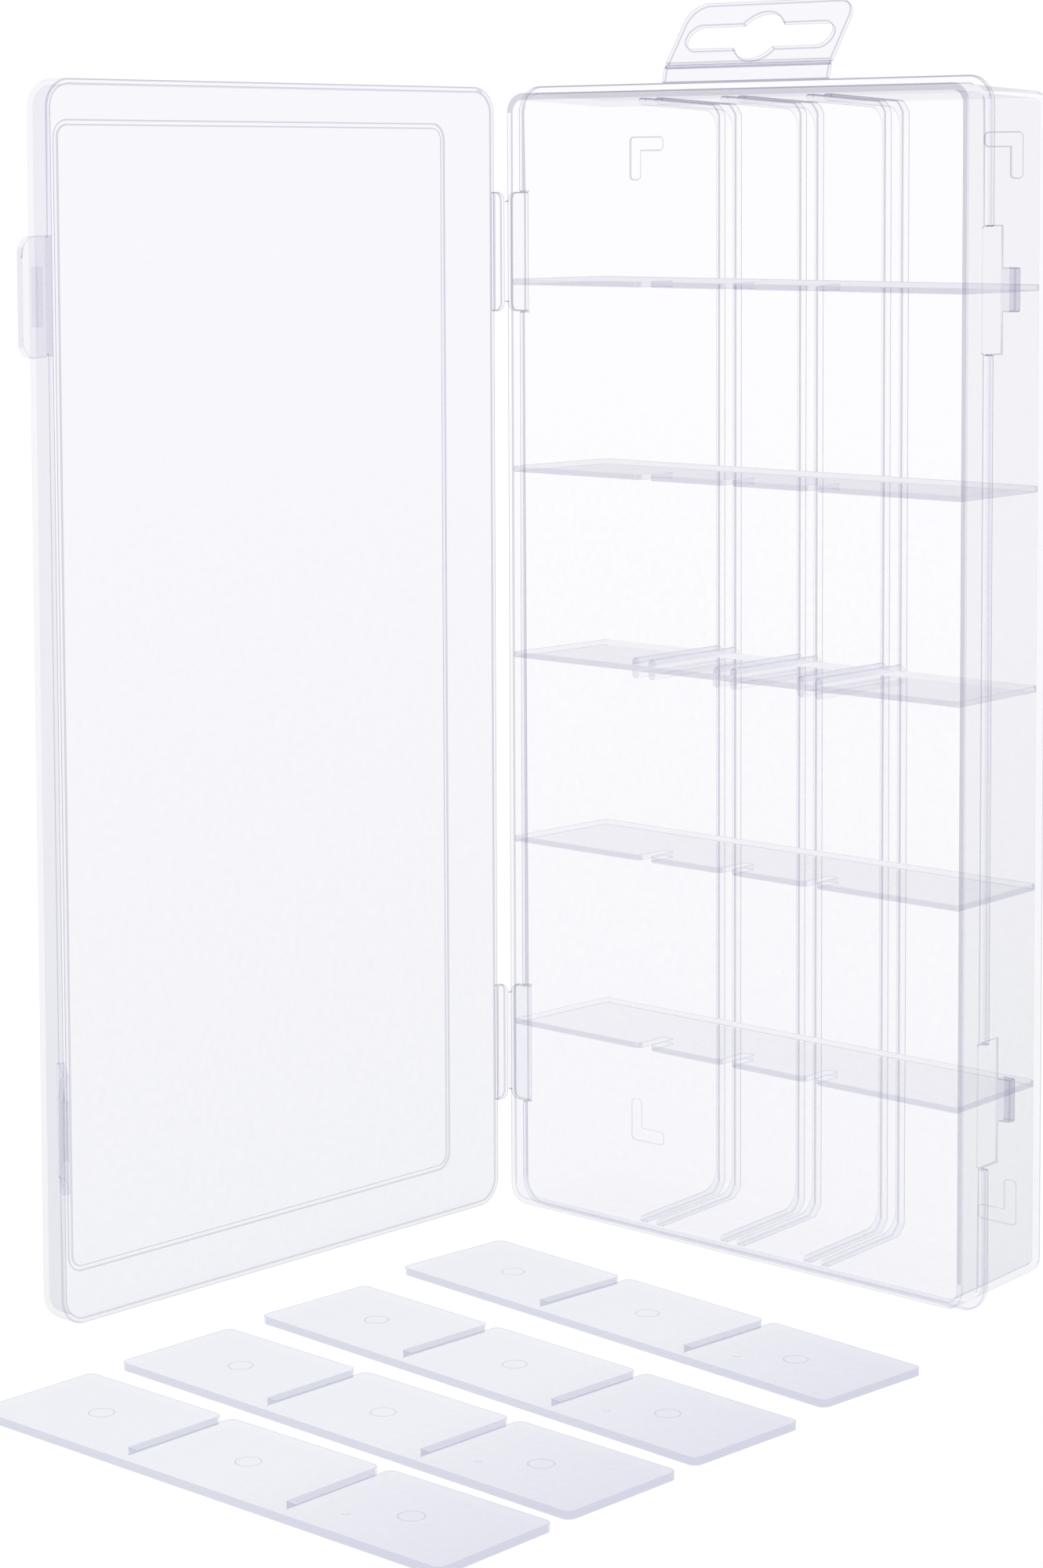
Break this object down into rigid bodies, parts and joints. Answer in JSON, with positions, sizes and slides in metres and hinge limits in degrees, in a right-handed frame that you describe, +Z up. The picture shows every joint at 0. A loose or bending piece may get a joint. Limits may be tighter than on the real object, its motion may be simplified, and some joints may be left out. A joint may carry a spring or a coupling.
{
  "type": "compartment box",
  "caption": "Clear flat parts box with a hinged lid, snap latches, fixed cross walls, loose dividers and a folding hang tab.",
  "frame": {"origin": "middle of the flange's lower edge, on the plane where lid and tray meet", "axes": "+Z up along the box's long side as it stands, +Y from the lid side to the tray's back, +X from the hinges to the latches"},
  "size_m": [0.1253, 0.1639, 0.2225],
  "materials": {
    "clear_plastic": "clear, faintly lilac polypropylene, glossy"
  },
  "bodies": {
    "tray": {"tray_shell": "clear_plastic", "cross_wall_1": "clear_plastic", "cross_wall_2": "clear_plastic", "cross_wall_3": "clear_plastic", "cross_wall_4": "clear_plastic", "cross_wall_5": "clear_plastic", "divider_rails_left": "clear_plastic", "divider_rails_middle": "clear_plastic", "divider_rails_right": "clear_plastic", "upper_hinge_tray_leaf": "clear_plastic", "lower_hinge_tray_leaf": "clear_plastic", "hang_tab_root": "clear_plastic"},
    "lid": {"lid_shell": "clear_plastic", "upper_hinge_lid_leaf": "clear_plastic", "lower_hinge_lid_leaf": "clear_plastic"},
    "upper_latch": {"upper_latch_flap": "clear_plastic"},
    "lower_latch": {"lower_latch_flap": "clear_plastic"},
    "hang_tab": {"hang_tab": "clear_plastic"},
    "divider_1": {"divider_1": "clear_plastic"},
    "divider_2": {"divider_2": "clear_plastic"},
    "divider_3": {"divider_3": "clear_plastic"},
    "divider_4": {"divider_4": "clear_plastic"}
  },
  "joints": [
    {"name": "lid_hinge", "type": "hinge", "parent": "tray", "child": "lid", "pos_m": [-0.05542, 0, 0.1035], "axis": [0, 0, 1], "range_deg": [-88, 91.1]},
    {"name": "upper_latch_hinge", "type": "hinge", "parent": "lid", "child": "upper_latch", "pos_m": [-0.05783, -0.10769, 0.17164], "axis": [0, 0, 1], "range_deg": [-110, 56]},
    {"name": "lower_latch_hinge", "type": "hinge", "parent": "lid", "child": "lower_latch", "pos_m": [-0.05783, -0.10769, 0.03536], "axis": [0, 0, 1], "range_deg": [-130, 35]},
    {"name": "hang_tab_fold", "type": "hinge", "parent": "tray", "child": "hang_tab", "pos_m": [0, 0.00127, 0.20981], "axis": [-1, 0, 0], "range_deg": [-34.7, 55.3]},
    {"name": "divider_1_lift", "type": "slide", "parent": "tray", "child": "divider_1", "axis": [0, 0, 1], "range_m": [0, 0.25]},
    {"name": "divider_2_lift", "type": "slide", "parent": "tray", "child": "divider_2", "axis": [0, 0, 1], "range_m": [0, 0.25]},
    {"name": "divider_3_lift", "type": "slide", "parent": "tray", "child": "divider_3", "axis": [0, 0, 1], "range_m": [0, 0.25]},
    {"name": "divider_4_lift", "type": "slide", "parent": "tray", "child": "divider_4", "axis": [0, 0, 1], "range_m": [0, 0.25]}
  ]
}
